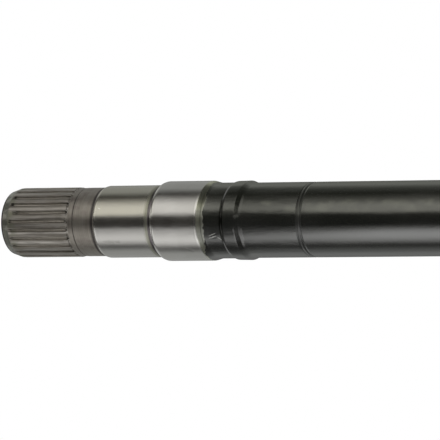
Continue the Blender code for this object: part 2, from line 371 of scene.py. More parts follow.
def collar_corners():
    """The collar's ramp, its narrow edge, its slow rise to the crown and its flank down to the bar."""
    ramp_end = COLLAR_START + COLLAR_RAMP_LENGTH + COLLAR_START_SHIFT
    edge_end = ramp_end + COLLAR_EDGE
    corners = [(COLLAR_START + COLLAR_START_SHIFT, WAIST_RADIUS, RAMP_FOOT_EDGE),
               (ramp_end, COLLAR_START_RADIUS - COLLAR_RAMP_DROP, RAMP_TOP_EDGE),
               (edge_end, COLLAR_START_RADIUS, COLLAR_START_EDGE)]
    slope = (COLLAR_CROWN_RADIUS - COLLAR_START_RADIUS) / (COLLAR_CROWN - edge_end)
    for place in row_places(COLLAR_START, COLLAR_ROWS):
        corners += plain_rows([place], COLLAR_START_RADIUS + slope * (place - edge_end))
    corners += [(COLLAR_CROWN + COLLAR_CROWN_SHIFT, COLLAR_CROWN_RADIUS, CROWN_EDGE),
                (BAR_START - FLANK_FOOT_LENGTH, BAR_RADIUS + FLANK_FOOT_HEIGHT, FLANK_EDGE),
                (BAR_START, BAR_RADIUS, FLANK_FOOT_EDGE)]
    return corners


def bar_corners():
    """The bar with its two turned lines, and its chamfered plain end with a centre hole."""
    corners = plain_rows(row_places(BAR_START, BAR_ROWS), BAR_RADIUS)
    for start, bottom, end, depth in np.array(BAR_LINES) * MM:
        corners += [(BAR_START + start, BAR_RADIUS, LINE_EDGE),
                    (BAR_START + bottom, BAR_RADIUS - depth, LINE_BOTTOM_EDGE),
                    (BAR_START + end, BAR_RADIUS, LINE_EDGE)]
    corners += [(SHAFT_END - END_CHAMFER, BAR_RADIUS, CHAMFER_EDGE),
                (SHAFT_END, BAR_RADIUS - END_CHAMFER, CHAMFER_EDGE)]
    corners += [(SHAFT_END - depth, radius, edge) for depth, radius, edge in reversed(hole_corners())]
    return corners


def outline():
    """The whole turned outline, from the point of one centre hole over the outside to the other."""
    return rounded(spline_corners() + journal_corners() + collar_corners() + bar_corners())


def groove_radius(place, beside, start, end):
    """Radius of a groove's surface at an angle beside its middle, for a place on the axis.

    The floor drops along a quarter ellipse at each end, so its radius is the land's less the depth times
    sqrt(1 - (1 - s)^2), where s runs from 0 to 1 over the run. The floor is flat: its radius over the cosine
    of the angle. The flank leaves the floor's edge at 30 degrees to the middle plane. The surface is a soft
    maximum of the two.
    """
    into = np.clip((place - start) / RUN_IN, 0.0, 1.0)
    out_of = np.clip((end - place) / RUN_OUT, 0.0, 1.0)
    sink = np.sqrt(1 - (1 - into) ** 2) * np.sqrt(1 - (1 - out_of) ** 2)
    floor = SPLINE_RADIUS - GROOVE_DEPTH * sink
    across = np.abs(beside)
    flank_base = (floor + FLOOR_CORNER) * FLANK_SLOPE - FLOOR_HALF_WIDTH
    lean = np.cos(across) * FLANK_SLOPE - np.sin(across)
    flank = flank_base / np.maximum(lean, LEAST_LEAN)
    level = floor / np.cos(across)
    surface = FLOOR_BLEND * np.logaddexp(flank / FLOOR_BLEND, level / FLOOR_BLEND)
    return np.where(sink > 0.0, surface, SPLINE_RADIUS + OUT_OF_REACH)


def drawn_teeth():
    """Where each groove starts and ends, the wear of each land, and the dirt at each groove's ends."""
    draw = np.random.default_rng(DRAW_SEED)
    start = GROOVE_START + draw.uniform(*START_RANGE, TEETH) * MM
    start[LATE_GROOVE] += LATE_START
    end = GROOVE_END + draw.uniform(*END_RANGE, TEETH) * MM
    wear, wear_shift = draw.uniform(*WEAR_RANGE, TEETH), draw.uniform(*WEAR_SHIFT_RANGE, TEETH)
    start_dirt, end_dirt = draw.uniform(*DIRT_RANGE, TEETH), draw.uniform(*DIRT_RANGE, TEETH)
    wear[NEAR_TEETH], wear_shift[NEAR_TEETH] = NEAR_WEAR, NEAR_WEAR_SHIFT
    start_dirt[NEAR_TEETH], end_dirt[NEAR_TEETH] = NEAR_START_DIRT, NEAR_END_DIRT
    return {"start": start, "end": end, "wear": wear, "wear_shift": wear_shift, "start_dirt": start_dirt,
            "end_dirt": end_dirt}


def hump(offset, half_width):
    """Gaussian hump: e to the minus square of the offset over the half width."""
    return np.exp(-((offset / half_width) ** 2))


def groove_masks(teeth, column, place, turned, groove, radius):
    """What the spline's finish reads at each point, each between 0 and 1 or a little over.

    They are the depth in a groove as a share of the full depth, and humps about the land's edge, about the
    bright stripe on each land, past a groove's start and before its end for dirt, and round its end for
    shine.
    """
    tooth = np.round(column / PITCH).astype(int) % TEETH
    land = np.floor(column / PITCH)
    worn_land = land.astype(int) % TEETH
    off_middle = np.degrees(column - (land + 0.5) * PITCH) - teeth["wear_shift"][worn_land]
    worn = hump(off_middle, WEAR_HALF_WIDTH) * teeth["wear"][worn_land]
    depth = np.clip((turned - radius) / GROOVE_DEPTH, 0.0, 1.0)
    over_land = groove - turned
    start, end = teeth["start"][tooth], teeth["end"][tooth]
    first = teeth["start_dirt"][tooth] * hump(place - start - START_DIRT_PLACE, START_DIRT_REACH)
    last = teeth["end_dirt"][tooth] * hump(place - end - END_DIRT_PLACE, END_DIRT_REACH)
    dirt = np.clip(DIRT_STRENGTH * (first + last), 0.0, 1.0) * np.clip(depth / DIRTY_DEPTH, 0.0, 1.0)
    rim = hump(over_land, SHINY_EDGE) * np.clip(1 - depth / LAND_DEPTH, 0.0, 1.0)
    shine = rim * teeth["end_dirt"][tooth] * hump(place - end, SHINE_REACH)
    return {"groove_depth": depth, "land_edge": hump(over_land, BRIGHT_EDGE),
            "land_wear": worn * np.ones_like(depth), "groove_dirt": dirt, "end_shine": shine}


def dents(place, angle, radius):
    """Depth of small dents at each point: each is a Gaussian hump over an ellipse in the unrolled surface."""
    depth = np.zeros_like(place)
    for x, round_angle, half_length, half_width, turn, deepest in DENTS:
        along = place - x * MM
        turned = (angle - math.radians(round_angle) + math.pi) % math.tau - math.pi
        across = turned * radius
        lean = math.radians(turn)
        u = (along * math.cos(lean) + across * math.sin(lean)) / (half_length * MM)
        v = (across * math.cos(lean) - along * math.sin(lean)) / (half_width * MM)
        depth += deepest * MM * np.exp(-(u**2 + v**2))
    return depth


def shaft_grid():
    """The outline's rows, and the place, radius and angle of each point of the surface with its masks.

    Rows follow the outline. Columns crowd at the groove edges on the spline and spread evenly from the neck
    on. A point's radius is a soft minimum of the turned radius and of its groove's surface, less its dents.
    """
    rows = outline()
    place, turned = rows[1:-1, 0][:, None], rows[1:-1, 1][:, None]
    half = np.radians(HALF_TOOTH)
    one_space = np.concatenate([half, PITCH - half[-2:0:-1]])
    column = (np.arange(TEETH)[:, None] * PITCH + one_space[None, :]).ravel()
    even = np.arange(column.size) * math.tau / column.size
    spread = np.clip((place - SPREAD_START) / SPREAD_LENGTH, 0.0, 1.0)
    angle = column[None, :] * (1 - spread) + even[None, :] * spread + SPLINE_PHASE
    teeth = drawn_teeth()
    nearest = np.round(column / PITCH)
    tooth = nearest.astype(int) % TEETH
    groove = groove_radius(place, column - nearest * PITCH, teeth["start"][tooth], teeth["end"][tooth])
    outside = turned > HOLE_MOUTH_RADIUS + 1 * MM
    groove = np.where(outside & (place < BAND_END), groove, SPLINE_RADIUS + OUT_OF_REACH)
    radius = -LAND_BLEND * np.logaddexp(-turned / LAND_BLEND, -groove / LAND_BLEND)
    radius = np.where(groove > turned + BLEND_REACH, turned, radius)
    masks = groove_masks(teeth, column, place, turned, groove, radius)
    place = place * np.ones_like(angle)
    degrees = (np.degrees(angle) + 180) % 360 - 180
    masks["paint_line"] = place - np.interp(degrees, *np.array(PAINT_EDGE).T) * MM
    radius = radius - np.where(outside, dents(place, angle, radius), 0.0)
    return rows, place, radius, angle, masks


def grid_faces(rows, columns, first_pole, last_pole):
    """Outward quads between the rows of a closed ring grid, and an outward fan to a pole at each end."""
    row, column = np.meshgrid(np.arange(rows - 1), np.arange(columns), indexing="ij")
    beside = (column + 1) % columns
    here, right = row * columns + column, row * columns + beside
    quads = np.stack([here, here + columns, right + columns, right], axis=-1).reshape(-1, 4)
    ring = np.arange(columns)
    following = (ring + 1) % columns
    last = (rows - 1) * columns
    first_fan = np.stack([np.full(columns, first_pole), ring, following], axis=-1)
    last_fan = np.stack([np.full(columns, last_pole), last + following, last + ring], axis=-1)
    return quads, first_fan, last_fan


def mesh_object(name, points, quads, triangles):
    """Puts whole arrays of points, quads and triangles into a mesh object at the origin."""
    mesh = bpy.data.meshes.new(name)
    mesh.vertices.add(len(points))
    mesh.vertices.foreach_set("co", points.astype(np.float32).ravel())
    corners = np.concatenate([quads.ravel(), triangles.ravel()])
    starts = np.concatenate([np.arange(len(quads)) * 4, len(quads) * 4 + np.arange(len(triangles)) * 3])
    mesh.loops.add(len(corners))
    mesh.loops.foreach_set("vertex_index", corners.astype(np.int32))
    mesh.polygons.add(len(starts))
    mesh.polygons.foreach_set("loop_start", starts.astype(np.int32))
    mesh.update(calc_edges=True)
    mesh.validate()
    mesh.shade_smooth()
    obj = bpy.data.objects.new(name, mesh)
    bpy.context.scene.collection.objects.link(obj)
    return obj


class Nodes:
    """Short calls for the nodes that finishes and the studio share."""

    def __init__(self, tree):
        self.nodes, self.links = tree.nodes, tree.links

    def put(self, socket, value):
        """Links another node's output to a socket, or sets the socket to a number or colour."""
        if hasattr(value, "is_output"):
            self.links.new(value, socket)
        else:
            socket.default_value = value

    def math(self, operation, first, second=0.0):
        node = self.nodes.new("ShaderNodeMath")
        node.operation = operation
        self.put(node.inputs[0], first)
        self.put(node.inputs[1], second)
        return node.outputs["Value"]

    def product(self, first, second):
        return self.math("MULTIPLY", first, second)

    def fit(self, value, low, high, to_low=0.0, to_high=1.0, smooth=False):
        """Carries a value from one range to another and holds it at the ends."""
        node = self.nodes.new("ShaderNodeMapRange")
        node.interpolation_type = "SMOOTHSTEP" if smooth else "LINEAR"
        for name, number in (("From Min", low), ("From Max", high), ("To Min", to_low), ("To Max", to_high)):
            node.inputs[name].default_value = number
        self.put(node.inputs["Value"], value)
        return node.outputs["Result"]

    def mix(self, share, first, second, blend="MIX"):
        node = self.nodes.new("ShaderNodeMix")
        node.data_type = "RGBA"
        node.blend_type = blend
        self.put(node.inputs["Factor"], share)
        self.put(node.inputs["A"], first)
        self.put(node.inputs["B"], second)
        return node.outputs["Result"]

    def degrees_round(self, y, z):
        """Degrees round the shaft's axis from the near side, positive upwards."""
        turn = self.math("ARCTAN2", z, self.product(y, -1.0))
        return self.product(turn, 180 / math.pi)


class Finish(Nodes):
    """A Principled material and short calls for the nodes that shape it, all on Object coordinates."""

    def __init__(self, name, roughness=0.3, metallic=1.0, ior=1.5):
        self.material = bpy.data.materials.new(name)
        self.material.use_nodes = True
        super().__init__(self.material.node_tree)
        self.shader = self.nodes["Principled BSDF"]
        self.shader.inputs["Roughness"].default_value = roughness
        self.shader.inputs["Metallic"].default_value = metallic
        self.shader.inputs["IOR"].default_value = ior
        self.where = self.nodes.new("ShaderNodeTexCoord").outputs["Object"]

    def colour(self, value):
        self.put(self.shader.inputs["Base Color"], value)

    def roughness(self, value):
        self.put(self.shader.inputs["Roughness"], value)

    def metallic(self, value):
        self.put(self.shader.inputs["Metallic"], value)

    def normal(self, value):
        self.put(self.shader.inputs["Normal"], value)

    def mapped(self, vector, centre, turn, size):
        """A vector measured from a centre, along axes turned about Z, in units of a size along each axis."""
        mapping = self.nodes.new("ShaderNodeMapping")
        mapping.vector_type = "TEXTURE"
        mapping.inputs["Location"].default_value = centre
        mapping.inputs["Rotation"].default_value = (0.0, 0.0, turn)
        mapping.inputs["Scale"].default_value = size
        self.links.new(vector, mapping.inputs["Vector"])
        return mapping.outputs["Vector"]

    def noise(self, scale, detail=3.0, roughness=0.5):
        """Noise with its own scale, in cycles a metre, along each axis."""
        node = self.nodes.new("ShaderNodeTexNoise")
        node.inputs["Scale"].default_value = 1.0
        node.inputs["Detail"].default_value = detail
        node.inputs["Roughness"].default_value = roughness
        cycle = tuple(1 / cycles for cycles in scale)
        self.links.new(self.mapped(self.where, (0, 0, 0), 0.0, cycle), node.inputs["Vector"])
        return node.outputs["Fac"]

    def axis(self, letter):
        node = self.nodes.new("ShaderNodeSeparateXYZ")
        self.links.new(self.where, node.inputs["Vector"])
        return node.outputs[letter]

    def angle(self):
        return self.degrees_round(self.axis("Y"), self.axis("Z"))

    def strip(self, value, start, end, soft):
        """1 between two values and 0 outside them, with soft edges."""
        rise = self.fit(value, start - soft, start + soft, smooth=True)
        return self.product(rise, self.fit(value, end - soft, end + soft, 1.0, 0.0, smooth=True))

    def strokes(self, marks, radius=16.5 * MM):
        """1 along fine marks on the unrolled surface, whose sides waver with a fine noise.

        Each mark is a strip along the line between its ends, measured in its own length and half width.
        """
        width, lines = marks
        join = self.nodes.new("ShaderNodeCombineXYZ")
        self.links.new(self.axis("X"), join.inputs["X"])
        self.links.new(self.product(self.angle(), radius * math.pi / 180), join.inputs["Y"])
        waver = self.fit(self.noise((1100, 1100, 1100), 2.0), 0.3, 0.7, -0.9, 0.9)
        mask = 0.0
        for x0, a0, x1, a1 in lines:
            start = Vector((x0 * MM, math.radians(a0) * radius))
            run = Vector((x1 * MM, math.radians(a1) * radius)) - start
            size = (run.length, width * MM / 2, 1.0)
            turn = math.atan2(run.y, run.x)
            split = self.nodes.new("ShaderNodeSeparateXYZ")
            on_line = self.mapped(join.outputs["Vector"], (start.x, start.y, 0.0), turn, size)
            self.links.new(on_line, split.inputs["Vector"])
            beside = self.math("ABSOLUTE", self.math("ADD", split.outputs["Y"], waver))
            across = self.fit(beside, 0.5, 1.3, 1.0, 0.0, smooth=True)
            line = self.product(self.strip(split.outputs["X"], 0.0, 1.0, 0.12), across)
            mask = self.math("MAXIMUM", line, mask)
        return mask

    def attribute(self, name, output="Fac"):
        node = self.nodes.new("ShaderNodeAttribute")
        node.attribute_name = name
        return node.outputs[output]

    def bump(self, height, strength, distance, below=None):
        """A normal raised by a height, over another bump's normal where one is given."""
        node = self.nodes.new("ShaderNodeBump")
        node.inputs["Strength"].default_value = strength
        node.inputs["Distance"].default_value = distance
        self.put(node.inputs["Height"], height)
        if below is not None:
            self.links.new(below, node.inputs["Normal"])
        return node.outputs["Normal"]


def spline_steel():
    """Dull brown-grey rolled steel: streaks along the grooves, and lands worn bright in the middle."""
    land_dark, land_light = (0.12, 0.11, 0.095, 1), (0.31, 0.29, 0.265, 1)
    land_brown, moss_green = (0.16, 0.145, 0.115, 1), (0.21, 0.22, 0.165, 1)
    floor_dark, floor_light = (0.18, 0.165, 0.14, 1), (0.44, 0.41, 0.365, 1)
    edge_light, worn_light = (0.6, 0.57, 0.53, 1), (0.62, 0.595, 0.555, 1)
    end_light, packed_dirt = (0.85, 0.83, 0.79, 1), (0.02, 0.018, 0.015, 1)
    finish = Finish("spline steel", metallic=0.8)
    depth, edge = finish.attribute("groove_depth"), finish.attribute("land_edge")
    wear, dirt = finish.attribute("land_wear"), finish.attribute("groove_dirt")
    streak = finish.noise((35, 950, 950), detail=5.0, roughness=0.7)
    patch = finish.noise((150, 260, 260), detail=3.0)
    land = finish.mix(finish.fit(streak, 0.42, 0.58), land_dark, land_light)
    land = finish.mix(finish.fit(patch, 0.48, 0.7, 0.0, 0.5), land, land_brown)
    floor_steel = finish.mix(finish.fit(streak, 0.42, 0.58), floor_dark, floor_light)
    steel = finish.mix(finish.fit(depth, 0.15, 0.9), land, floor_steel)
    steel = finish.mix(finish.product(edge, 0.22), steel, edge_light)
    broken = finish.fit(finish.noise((70, 500, 500), detail=3.0), 0.35, 0.55, 0.35, 1.0)
    shine = finish.product(finish.product(wear, broken), finish.fit(depth, 0.0, 0.1, 0.75, 0.0))
    steel = finish.mix(finish.math("MINIMUM", shine, 1.0), steel, worn_light)
    steel = finish.mix(finish.attribute("end_shine"), steel, end_light)
    near_nose = finish.fit(finish.axis("X"), 6 * MM, 9 * MM, 1.0, 0.0)
    moss = finish.product(near_nose, finish.fit(patch, 0.45, 0.6, 0.0, 0.6))
    steel = finish.mix(moss, steel, moss_green)
    finish.colour(finish.mix(finish.product(dirt, 0.92), steel, packed_dirt))
    finish.roughness(finish.fit(streak, 0.3, 0.7, 0.36, 0.48))
    lines = finish.bump(streak, 0.6, 0.04 * MM)
    finish.normal(finish.bump(finish.noise((900, 900, 900), 4.0), 0.35, 0.025 * MM, lines))
    return finish.material


def turned_steel():
    """Turned brown-grey steel: fine rings, nose oil film, darker rim and seam, painted shade by the seat and
    under the nose.
    """
    base_dark, base_light = (0.21, 0.195, 0.172, 1), (0.30, 0.28, 0.25, 1)
    film_dark, film_light = (0.13, 0.14, 0.115, 1), (0.34, 0.345, 0.30, 1)
    blotch_brown, ring_light = (0.17, 0.142, 0.135, 1), (0.4, 0.375, 0.34, 1)
    # dark colour of the painted shade and of the darker seam and end-face rim
    shade_and_darkening_colour = (0.055, 0.05, 0.05, 1)
    finish = Finish("turned steel", metallic=0.85)
    along = finish.axis("X")
    rings = finish.noise((2600, 25, 25), detail=2.0)
    patch = finish.noise((90, 160, 160), detail=4.0)
    blotch = finish.noise((210, 330, 330), detail=4.0)
    base = finish.mix(finish.fit(patch, 0.35, 0.65), base_dark, base_light)
    base = finish.mix(finish.fit(blotch, 0.5, 0.64, 0.0, 0.55), base, blotch_brown)
    nose = finish.fit(along, 4.5 * MM, 6 * MM, 1.0, 0.0)
    film = finish.mix(finish.fit(blotch, 0.44, 0.6), film_dark, film_light)
    base = finish.mix(nose, base, film)
    base = finish.mix(finish.fit(rings, 0.35, 0.65, 0.0, 0.35), base, ring_light)
    rim = finish.strip(along, 0.15 * MM, 1.0 * MM, 0.12 * MM)
    # painted shade in the corner before the seat's shoulder
    seat_corner_shade = finish.strip(along, SEAT_START - 1.3 * MM, SEAT_START + 0.1 * MM, 0.35 * MM)
    seam = finish.strip(along, BAND_END - 0.05 * MM, BAND_END + 0.45 * MM, 0.15 * MM)
    # painted shade on the nose's underside
    nose_underside_shade = finish.product(nose, finish.fit(finish.angle(), -76, -50, 0.92, 0.0))
    # darkening: painted shade by the seat and under the nose, with a darker seam and end-face rim
    shade_and_darkening = finish.math("MAXIMUM", finish.product(seat_corner_shade, 0.85), finish.product(seam, 0.6))
    shade_and_darkening = finish.math("MAXIMUM", shade_and_darkening, finish.product(rim, 0.97))
    shade_and_darkening = finish.math("MAXIMUM", shade_and_darkening, nose_underside_shade)
    finish.colour(finish.mix(shade_and_darkening, base, shade_and_darkening_colour))
    finish.roughness(finish.fit(patch, 0.3, 0.7, 0.34, 0.44))
    finish.normal(finish.bump(rings, 0.4, 0.02 * MM))
    return finish.material


def ground_steel():
    """Bright ground journals: very fine rings, faint clouds, a few scratches, a dull relief. Painted light: a
    warm reflection on the seat's upper side, shade before the journal's shoulder and a highlight at its end.
    """
    cool_dark, cool_light = (0.55, 0.545, 0.53, 1), (0.62, 0.615, 0.60, 1)
    seat_cool, seat_reflection_warm = (0.54, 0.535, 0.52, 1), (0.565, 0.55, 0.462, 1)
    relief_olive, corner_shade_dark = (0.27, 0.275, 0.20, 1), (0.12, 0.105, 0.118, 1)
    ring_dark, lip_highlight_light = (0.48, 0.475, 0.45, 1), (0.9, 0.9, 0.87, 1)
    stain_grey, scratch_light = (0.28, 0.275, 0.26, 1), (0.88, 0.88, 0.86, 1)
    finish = Finish("ground steel")
    along, angle = finish.axis("X"), finish.angle()
    rings = finish.noise((5200, 12, 12), detail=2.0)
    cloud = finish.noise((60, 110, 110), detail=3.0)
    seat = finish.fit(along, 74 * MM, 80 * MM, 1.0, 0.0)
    # painted reflection: the seat's upper side is tinted warm
    upper_warm_reflection = finish.product(finish.fit(angle, 2.0, 12.0), seat)
    base = finish.mix(finish.fit(cloud, 0.35, 0.65), cool_dark, cool_light)
    base = finish.mix(seat, base, seat_cool)
    base = finish.mix(finish.product(upper_warm_reflection, 0.8), base, seat_reflection_warm)
    base = finish.mix(finish.fit(rings, 0.3, 0.7, 0.0, 0.3), base, ring_dark)
    olive = finish.strip(along, JOURNAL_START - 3.6 * MM, JOURNAL_START - 1.6 * MM, 0.9 * MM)
    # painted shade in the relief's corner before the journal's shoulder
    dark = finish.strip(along, JOURNAL_START - 2.15 * MM, JOURNAL_START - 0.25 * MM, 0.25 * MM)
    base = finish.mix(finish.product(olive, 0.7), base, relief_olive)
    base = finish.mix(finish.product(dark, 0.85), base, corner_shade_dark)
    # painted highlight on the journal's end edge, on the near side
    lip = finish.strip(along, JOURNAL_END - 0.8 * MM, JOURNAL_END + 0.1 * MM, 0.2 * MM)
    lip = finish.product(lip, finish.strip(angle, -44, 42, 7))
    base = finish.mix(finish.product(lip, 0.55), base, lip_highlight_light)
    base = finish.mix(finish.product(finish.strokes(STAINS), 0.35), base, stain_grey)
    finish.colour(finish.mix(finish.product(finish.strokes(SCRATCHES), 0.6), base, scratch_light))
    finish.roughness(finish.math("ADD", finish.fit(cloud, 0.3, 0.7, 0.17, 0.23), finish.product(olive, 0.15)))
    waves = finish.bump(finish.noise((120, 330, 330), detail=4.0), 0.9, 0.045 * MM)
    finish.normal(finish.bump(rings, 0.25, 0.008 * MM, waves))
    return finish.material


def bare_cone(finish, along, angle, rings):
    """Colour of the grey-green bare cone: painted highlight bands, painted shade on its upper side, a pale rim
    and a dark line.
    """
    cone_dark, cone_light = (0.47, 0.48, 0.385, 1), (0.6, 0.61, 0.505, 1)
    rim_pale, highlight_bright = (0.62, 0.62, 0.56, 1), (0.95, 0.96, 0.87, 1)
    upper_painted_shade, line_dark = (0.25, 0.255, 0.21, 1), (0.12, 0.12, 0.09, 1)
    bare = finish.mix(finish.fit(rings, 0.35, 0.65), cone_dark, cone_light)
    rim = finish.strip(along, WAIST_START - 1.0 * MM, WAIST_START + 2 * MM, 0.2 * MM)
    bare = finish.mix(finish.product(rim, 0.7), bare, rim_pale)
    # painted highlights in two bands, below and above the middle
    highlight_bands = finish.math("ADD", finish.strip(angle, -36, -12, 8), finish.strip(angle, 6, 17, 6))
    bare = finish.mix(finish.product(highlight_bands, 0.8), bare, highlight_bright)
    # painted shade on the cone's upper side
    bare = finish.mix(finish.strip(angle, 28, 66, 8), bare, upper_painted_shade)
    line = finish.strip(along, WAIST_START - 1.6 * MM, WAIST_START - 1.2 * MM, 0.15 * MM)
    return finish.mix(finish.product(line, 0.55), bare, line_dark)


def marked_black(finish, along, angle, mottle):
    """Colour of the paint: mottled black, dust with a painted sheen in one strip, painted highlights on the
    flank's edges, a smear, and scuffs painted bright as their highlights.
    """
    black_deep, black_pale = (0.004, 0.005, 0.0025, 1), (0.01, 0.0105, 0.008, 1)
    dust_and_sheen_grey, flank_highlight_grey = (0.058, 0.06, 0.045, 1), (0.19, 0.19, 0.195, 1)
    smear_grey, scuff_and_highlight_light = (0.19, 0.19, 0.175, 1), (0.42, 0.42, 0.41, 1)
    black = finish.mix(finish.fit(mottle, 0.4, 0.75), black_deep, black_pale)
    dust_and_sheen = finish.fit(finish.noise((150, 230, 230), detail=4.0), 0.46, 0.66)
    # dust with a painted sheen: the strip lies in the band of the upper light
    dust_and_sheen = finish.product(dust_and_sheen, finish.strip(angle, 12, 30, 5))
    dust_and_sheen = finish.product(dust_and_sheen, finish.fit(along, COLLAR_START, BAR_START, 0.3, 1.0))
    black = finish.mix(dust_and_sheen, black, dust_and_sheen_grey)
    # painted highlights on the flank's edges
    black = finish.mix(finish.product(finish.strokes(FLANK_HIGHLIGHTS), 0.5), black, flank_highlight_grey)
    black = finish.mix(finish.product(finish.strokes(FLANK_SMEAR), 0.28), black, smear_grey)
    # scuffs, painted bright as their highlights
    return finish.mix(finish.strokes(SCUFFS_AND_HIGHLIGHTS), black, scuff_and_highlight_light)


def black_paint():
    """Semi-gloss black paint over the rings of the turned bar, from a wavy edge on the grey-green bare cone.

    The collar's corner is set mostly metallic, because dark metal gives back less light than paint, and the
    photograph shows a dark line there.
    """
    bare_roughness = (0.34, 0.34, 0.34, 1)
    finish = Finish("black paint", ior=2.2)
    along, angle = finish.axis("X"), finish.angle()
    rings = finish.noise((2200, 20, 20), detail=2.0)
    mottle = finish.noise((45, 110, 110), detail=4.0)
    wander = finish.fit(finish.noise((300, 420, 420), detail=3.0), 0.3, 0.7, -0.45 * MM, 0.45 * MM)
    past = finish.math("ADD", finish.attribute("paint_line"), wander)
    painted = finish.fit(past, -0.07 * MM, 0.07 * MM)
    bare, black = bare_cone(finish, along, angle, rings), marked_black(finish, along, angle, mottle)
    finish.colour(finish.mix(painted, bare, black))
    # painted shade: the collar's corner is made a dark line on the near side, by dark metal
    corner = finish.strip(along, COLLAR_START - 1.2 * MM, COLLAR_START + 0.9 * MM, 0.15 * MM)
    corner = finish.product(corner, finish.strip(angle, -34, 33, 4))
    bare_metal = finish.fit(painted, 0.0, 1.0, 0.95, 0.0)
    finish.metallic(finish.math("MAXIMUM", bare_metal, finish.product(corner, 0.8)))
    in_lines = finish.strip(along, BAR_START + 27 * MM, BAR_START + 29.8 * MM, 0.2 * MM)
    gloss = finish.fit(mottle, 0.3, 0.7, 0.13, 0.2)
    paint_roughness = finish.math("ADD", gloss, finish.product(in_lines, 0.14))
    finish.roughness(finish.mix(painted, bare_roughness, paint_roughness))
    lip = finish.fit(past, -0.1 * MM, 0.1 * MM, 0.0, 1.0, smooth=True)
    skin = finish.noise((650, 650, 650), detail=3.0)
    uneven = finish.fit(along, 148 * MM, 158 * MM, 1.0, 0.3)
    runs = finish.product(finish.noise((110, 420, 420), detail=4.0), uneven)
    height = finish.bump(runs, 0.9, 0.11 * MM, finish.bump(skin, 0.5, 0.04 * MM))
    finish.normal(finish.bump(lip, 0.5, 0.05 * MM, finish.bump(rings, 0.15, 0.015 * MM, height)))
    return finish.material


def painted_shaft():
    """The whole turned and splined surface, with each zone's own finish."""
    rows, place, radius, angle, masks = shaft_grid()
    count, columns = place.shape
    points = np.stack([place, -radius * np.cos(angle), radius * np.sin(angle)], axis=-1).reshape(-1, 3)
    poles = np.array([[rows[0, 0], 0.0, 0.0], [rows[-1, 0], 0.0, 0.0]])
    quads, first_fan, last_fan = grid_faces(count, columns, count * columns, count * columns + 1)
    fans = np.concatenate([first_fan, last_fan])
    shaft = mesh_object("painted_shaft", np.concatenate([points, poles]), quads, fans)
    for name, values in masks.items():
        layer = shaft.data.attributes.new(name, "FLOAT", "POINT")
        layer.data.foreach_set("value", np.append(values.ravel(), (0.0, 0.0)).astype(np.float32))
    for material in (turned_steel(), spline_steel(), ground_steel(), black_paint()):
        shaft.data.materials.append(material)
    turned, splined, ground, painted = range(4)
    centres = np.empty(len(shaft.data.polygons) * 3)
    shaft.data.polygons.foreach_get("center", centres)
    centres = centres.reshape(-1, 3)
    along, away = centres[:, 0], np.hypot(centres[:, 1], centres[:, 2])
    outside = away > END_FACE_RADIUS - FACE_EDGE
    spline_from, spline_to = GROOVE_START - SPLINE_FINISH_MARGIN, SPLINE_END + SPLINE_FINISH_OVERRUN
    zone = np.full(len(along), turned, np.int32)
    zone[outside & (along > spline_from) & (along < spline_to)] = splined
    zone[outside & (along > SEAT_FINISH_START) & (along < PAINT_FINISH_START)] = ground
    zone[outside & (along > PAINT_FINISH_START)] = painted
    shaft.data.polygons.foreach_set("material_index", zone)
    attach(shaft, "root")
    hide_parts("axle_shaft")
    return shaft


class Surround(Nodes):
    """World nodes for the studio: light that depends only on the direction of a ray."""

    def __init__(self):
        world = bpy.data.worlds.new("studio")
        bpy.context.scene.world = world
        world.use_nodes = True
        super().__init__(world.node_tree)
        self.background = self.nodes["Background"]

    def step(self, value, start, end, height=1.0):
        """Rises smoothly from 0 to a height between two values, or falls if the end is lower."""
        if start < end:
            return self.fit(value, start, end, 0.0, height, smooth=True)
        return self.fit(value, end, start, height, 0.0, smooth=True)

    def hill(self, value, rise, fall, height=1.0):
        """Rises smoothly over one range and falls back over another."""
        return self.product(self.step(value, *rise), self.step(value, *fall, height))


